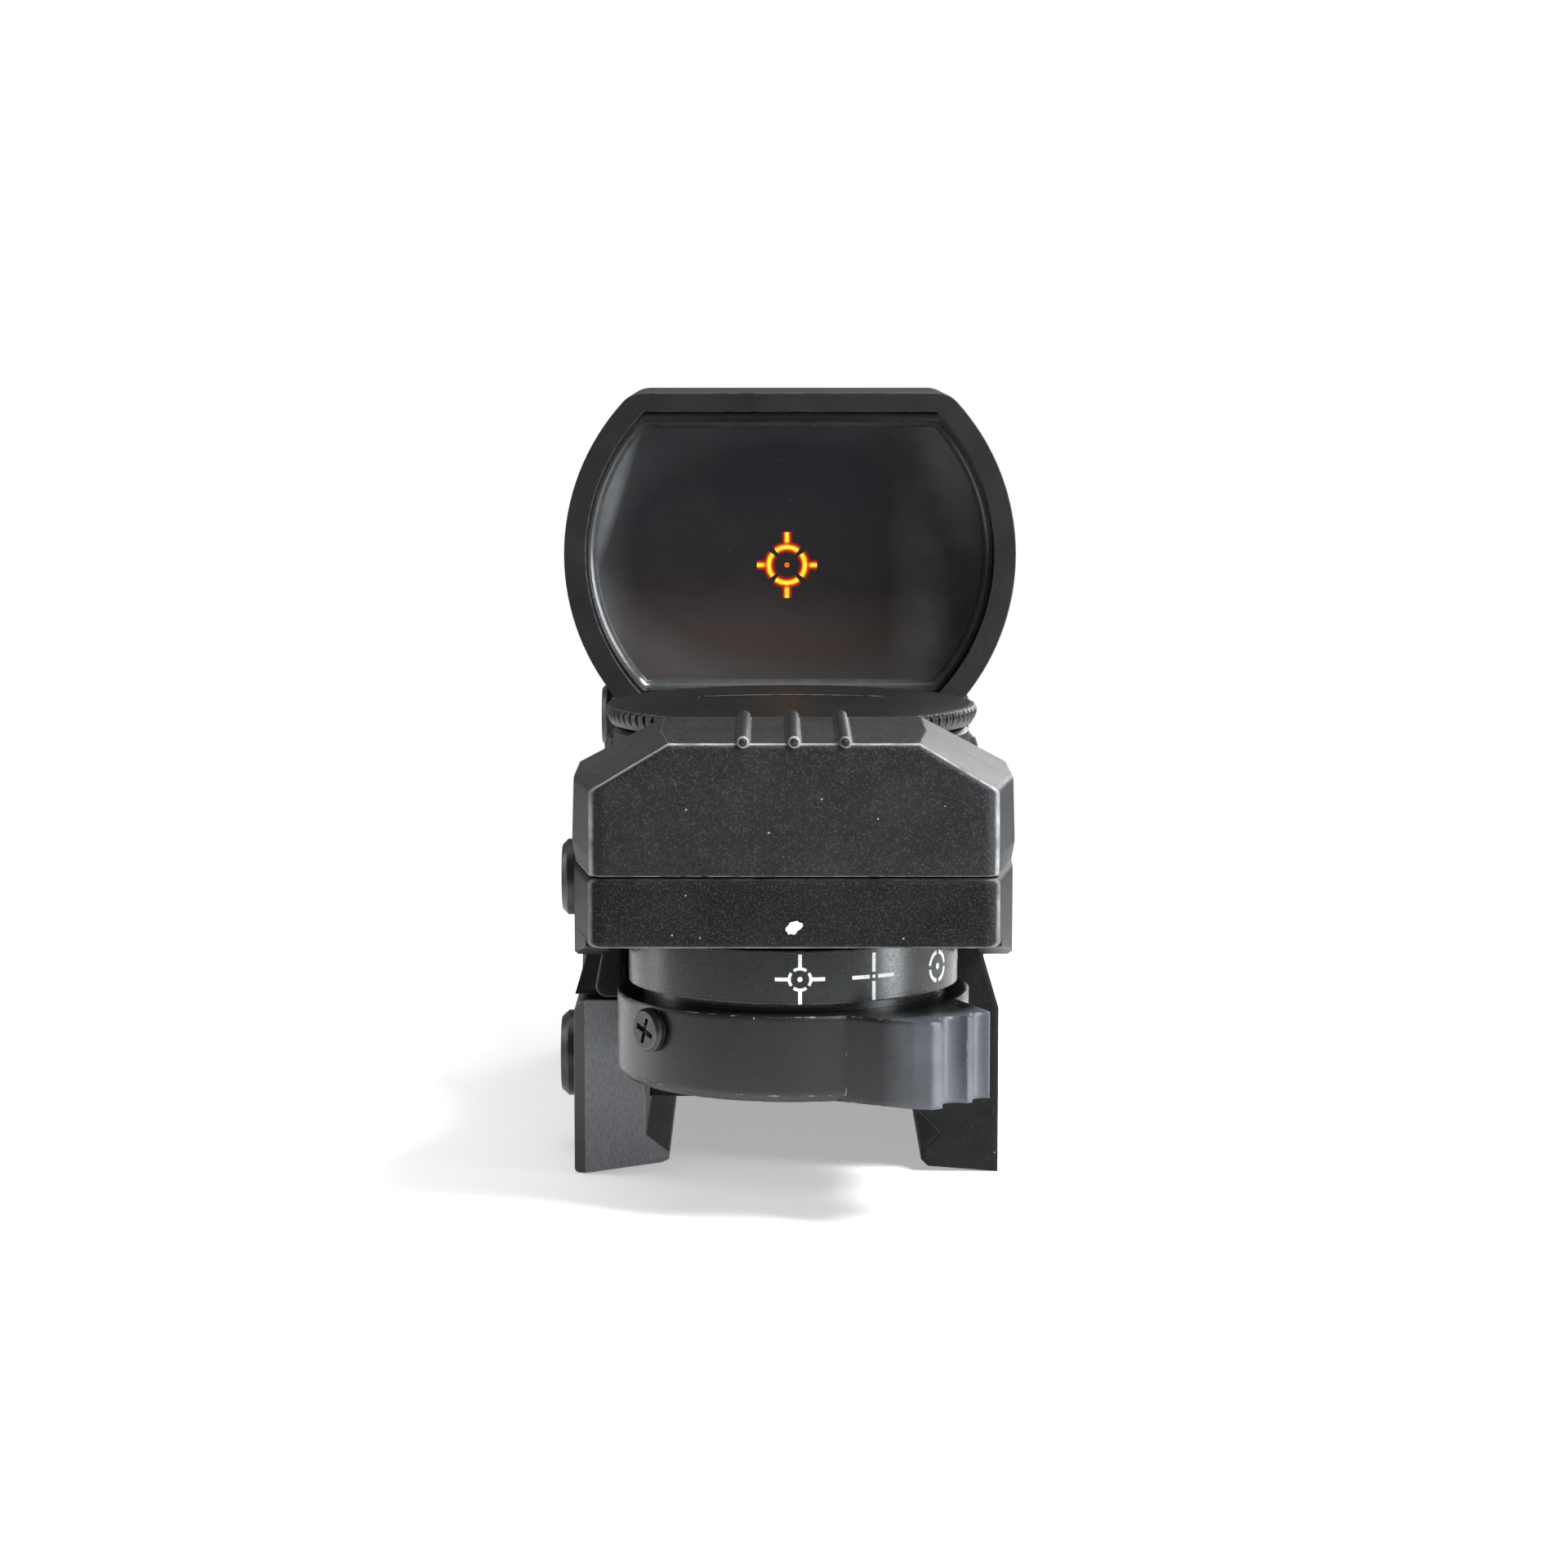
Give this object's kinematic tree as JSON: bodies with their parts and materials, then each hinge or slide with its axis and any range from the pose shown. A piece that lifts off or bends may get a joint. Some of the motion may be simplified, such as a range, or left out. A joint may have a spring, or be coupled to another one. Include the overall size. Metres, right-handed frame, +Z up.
{
  "type": "red dot finder",
  "caption": "Open reflex red dot sight: flat-topped lens hood, round brightness dial, reticle drum with a ridged thumb lever, and a screw clamp for a dovetail rail.",
  "frame": {"origin": "on the sight's centre plane, halfway along its length, at the height of the clamp jaws' lowest edge", "axes": "+Z up, +Y forward to the target along the sight axis, +X to the user's right"},
  "size_m": [0.0362, 0.0822, 0.0547],
  "materials": {
    "cast_black": "matt black anodised casting",
    "turned_black": "satin black anodised, turned",
    "screw_black": "blackened steel",
    "bright_steel": "plain steel",
    "plated_brass": "plated brass",
    "black_rubber": "matt rubber",
    "coated_glass": "coated, polished",
    "window_glass": "clear, polished",
    "board": "glass-fibre board",
    "sled_plastic": "moulded black plastic",
    "led_red": "clear red resin"
  },
  "bodies": {
    "base": {"base_body": "cast_black", "lens_hood": "cast_black", "hood_screws": "screw_black", "lens_pivot_pins": "bright_steel", "emitter_cap": "cast_black", "cap_screws": "screw_black", "emitter_window": "window_glass", "switch_board": "board", "drum_detent_ball": "bright_steel", "drum_detent_spring": "bright_steel", "dial_detent_ball": "bright_steel", "dial_detent_spring": "bright_steel"},
    "jaw": {"clamp_plate": "turned_black"},
    "front_clamp_screw": {"clamp_screw_front": "screw_black"},
    "rear_clamp_screw": {"clamp_screw_rear": "screw_black"},
    "selector": {"reticle_drum": "turned_black", "drum_clip": "bright_steel", "reticle_sleeve": "plated_brass", "selector_lever": "turned_black", "lever_screw": "screw_black"},
    "dial": {"brightness_dial": "turned_black", "coin_cell": "bright_steel", "battery_contact": "plated_brass", "switch_wiper": "plated_brass", "dial_washer": "bright_steel", "dial_screw": "screw_black"},
    "lid_seal": {"lid_o_ring": "black_rubber"},
    "lid": {"battery_lid": "turned_black"},
    "windage": {"windage_adjuster": "screw_black", "windage_clip": "bright_steel"},
    "sled": {"emitter_sled": "sled_plastic", "emitter_led": "led_red"},
    "elevation": {"elevation_adjuster": "screw_black"},
    "lens": {"lens_cell": "turned_black", "objective_lens": "coated_glass"}
  },
  "joints": [
    {"name": "jaw_slide", "type": "slide", "parent": "base", "child": "jaw", "axis": [-1, 0, 0], "range_m": [0, 0.002]},
    {"name": "front_screw_turn", "type": "hinge", "parent": "jaw", "child": "front_clamp_screw", "pos_m": [-0.0156, 0.0234, 0.0069], "axis": [-1, 0, 0], "range_deg": [0, 1029]},
    {"name": "rear_screw_turn", "type": "hinge", "parent": "jaw", "child": "rear_clamp_screw", "pos_m": [-0.0156, -0.0106, 0.0069], "axis": [-1, 0, 0], "range_deg": [0, 1029]},
    {"name": "reticle_select", "type": "hinge", "parent": "base", "child": "selector", "pos_m": [0, -0.0271, 0.014], "axis": [0, 0, 1], "range_deg": [-90, 0]},
    {"name": "dial_turn", "type": "hinge", "parent": "base", "child": "dial", "pos_m": [0, 0.0014, 0.026], "axis": [0, 0, 1], "range_deg": [-90, 210]},
    {"name": "lid_lift", "type": "slide", "parent": "dial", "child": "lid_seal", "axis": [0, 0, 1], "range_m": [0, 0.002]},
    {"name": "lid_turn", "type": "hinge", "parent": "lid_seal", "child": "lid", "pos_m": [0, 0.0014, 0.031], "axis": [0, 0, 1], "range_deg": [0, 721]},
    {"name": "sled_slide", "type": "slide", "parent": "base", "child": "sled", "axis": [1, 0, 0], "range_m": [-0.0005, 0.0005]},
    {"name": "windage_turn", "type": "hinge", "parent": "base", "child": "windage", "pos_m": [-0.01495, -0.0276, 0.0224], "axis": [-1, 0, 0], "range_deg": [-361, 361]},
    {"name": "lens_tilt", "type": "hinge", "parent": "base", "child": "lens", "pos_m": [0, 0.0247, 0.0417], "axis": [1, 0, 0], "range_deg": [-0.45, 0.45]},
    {"name": "elevation_turn", "type": "hinge", "parent": "base", "child": "elevation", "pos_m": [-0.0144, 0.0262, 0.0282], "axis": [1, 0, 0], "range_deg": [-61, 61]}
  ],
  "couplings": [
    {"joint": "front_screw_turn", "follows": "jaw_slide", "rad_per_m": 8976},
    {"joint": "rear_screw_turn", "follows": "jaw_slide", "rad_per_m": 8976},
    {"joint": "lid_turn", "follows": "lid_lift", "rad_per_m": 6283.2},
    {"joint": "windage_turn", "follows": "sled_slide", "rad_per_m": 12566},
    {"joint": "elevation_turn", "follows": "lens_tilt", "ratio": -135}
  ]
}
